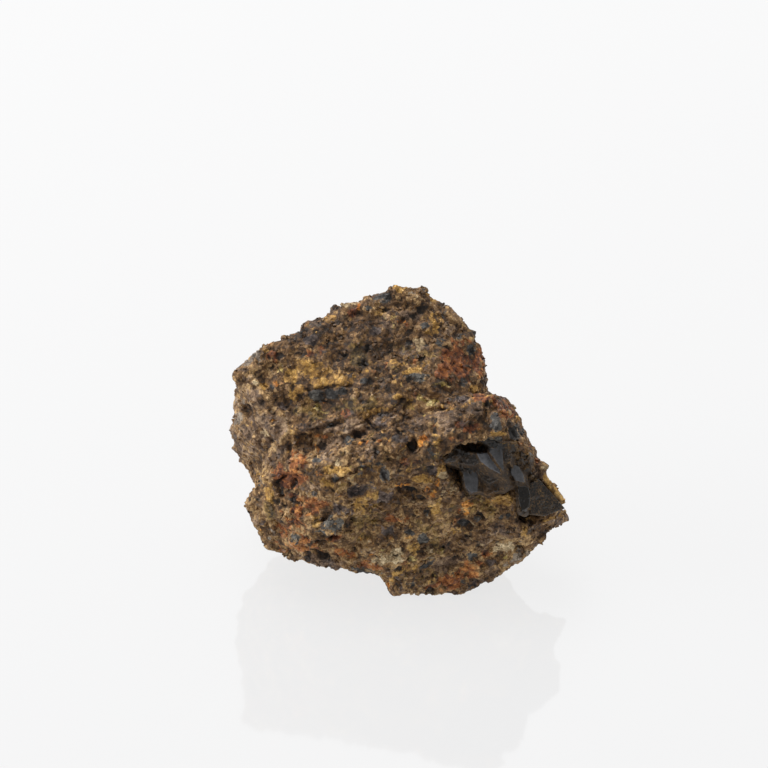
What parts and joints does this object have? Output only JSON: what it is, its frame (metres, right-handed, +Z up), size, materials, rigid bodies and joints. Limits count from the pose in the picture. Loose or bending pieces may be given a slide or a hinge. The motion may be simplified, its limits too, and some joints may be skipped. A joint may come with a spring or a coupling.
{
  "type": "axinite crystal specimen on rock",
  "caption": "Broken lump of iron-stained rock with a stepped top, a hollow of dark glassy axinite crystals on its front face and one big dark crystal on its corner.",
  "frame": {"origin": "on the surface that the specimen rests on, under the middle of its box", "axes": "+Z up, +X to the right as seen from the side with the hollow, which looks along -Y"},
  "size_m": [0.045, 0.0306, 0.0374],
  "materials": {
    "iron_stained_rock": "rough broken granular rock, mottled brown, ochre, rust and slate",
    "dark_axinite": "glassy crystal faces, dark smoky grey-brown",
    "corner_axinite": "glassy crystal faces, nearly black"
  },
  "bodies": {
    "root": {"matrix": "iron_stained_rock", "vug_crystals": "dark_axinite", "corner_crystal": "corner_axinite"}
  },
  "joints": []
}
